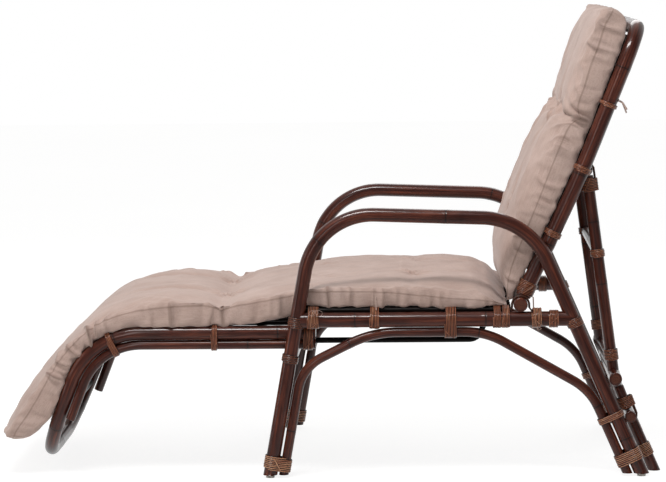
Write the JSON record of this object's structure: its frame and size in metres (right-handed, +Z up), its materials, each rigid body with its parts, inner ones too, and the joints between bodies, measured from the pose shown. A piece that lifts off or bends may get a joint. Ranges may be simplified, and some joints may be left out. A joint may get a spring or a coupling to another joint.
{
  "type": "sun lounger",
  "caption": "Rattan pole sun lounger with loop arms, slide-out curved legrest, backrest on a hinged prop frame, and crowned pads.",
  "frame": {"origin": "on the floor under the middle of the lounger's bounding box", "axes": "+X from the legrest to the backrest, +Y to the right of someone who sits in it, +Z up"},
  "size_m": [1.4258, 0.6382, 1.0027],
  "materials": {
    "rattan_pole": "gloss lacquer, dark brown",
    "dark_cane": "satin, nearly black",
    "bent_cane": "satin",
    "rattan_peel": "satin",
    "cushion_fabric": "matt woven cotton",
    "glide_plastic": "matt"
  },
  "bodies": {
    "frame": {"arm_loop_left": "rattan_pole", "arm_loop_right": "rattan_pole", "seat_rail_left": "rattan_pole", "seat_rail_right": "rattan_pole", "arch_brace_left": "rattan_pole", "arch_brace_right": "rattan_pole", "foot_glides": "glide_plastic", "lower_bar": "rattan_pole", "rear_post_left": "rattan_pole", "rear_post_right": "rattan_pole", "front_bar": "rattan_pole", "seat_bars": "rattan_pole", "deck_edge_left": "dark_cane", "deck_edge_right": "dark_cane", "deck_canes": "dark_cane", "slide_rod_left": "rattan_pole", "slide_rod_right": "rattan_pole", "pivot_arches": "bent_cane", "frame_lashings_left": "rattan_peel", "frame_lashings_right": "rattan_peel", "seat_pad": "cushion_fabric", "leg_pad": "cushion_fabric"},
    "backrest": {"pivot_bar": "rattan_pole", "back_frame": "rattan_pole", "back_bars": "rattan_pole", "back_canes": "dark_cane", "prop_hinge_bar": "rattan_pole", "back_lashings": "rattan_peel", "back_pad": "cushion_fabric"},
    "prop": {"prop_pole_left": "rattan_pole", "prop_pole_right": "rattan_pole", "prop_foot_bar": "rattan_pole", "prop_rung": "rattan_pole", "prop_hinge_loops": "bent_cane", "prop_lashings": "rattan_peel"},
    "stay_near": {"stay_left": "rattan_pole", "stay_loop_left": "bent_cane", "stay_lashing_left": "rattan_peel"},
    "stay_far": {"stay_right": "rattan_pole", "stay_loop_right": "bent_cane", "stay_lashing_right": "rattan_peel"},
    "legrest": {"legrest_frame": "rattan_pole", "legrest_lower_pole_left": "rattan_pole", "legrest_lower_pole_right": "rattan_pole", "legrest_bars": "rattan_pole", "slide_bar": "rattan_pole", "legrest_canes": "dark_cane", "slide_rings": "bent_cane", "legrest_lashings": "rattan_peel", "shin_pad": "cushion_fabric"}
  },
  "joints": [
    {"name": "legrest_slide", "type": "slide", "parent": "frame", "child": "legrest", "axis": [1, 0, 0], "range_m": [0, 0.315], "deforming": ["leg_pad"]},
    {"name": "backrest_recline", "type": "hinge", "parent": "frame", "child": "backrest", "pos_m": [0.411, 0, 0.3705], "axis": [0, 1, 0], "range_deg": [0, 15]},
    {"name": "prop_swing", "type": "hinge", "parent": "backrest", "child": "prop", "pos_m": [0.55488, 0, 0.65116], "axis": [0, 1, 0], "range_deg": [-9.3, 0]},
    {"name": "stay_swing_left", "type": "hinge", "parent": "frame", "child": "stay_near", "pos_m": [0.64454, 0, 0.126], "axis": [0, 1, 0], "range_deg": [0, 151]},
    {"name": "stay_swing_right", "type": "hinge", "parent": "frame", "child": "stay_far", "pos_m": [0.64454, 0, 0.126], "axis": [0, 1, 0], "range_deg": [0, 151]}
  ],
  "couplings": [
    {"joint": "prop_swing", "follows": "backrest_recline", "ratio": -0.613},
    {"joint": "stay_swing_left", "follows": "backrest_recline", "ratio": 10},
    {"joint": "stay_swing_right", "follows": "backrest_recline", "ratio": 10}
  ]
}
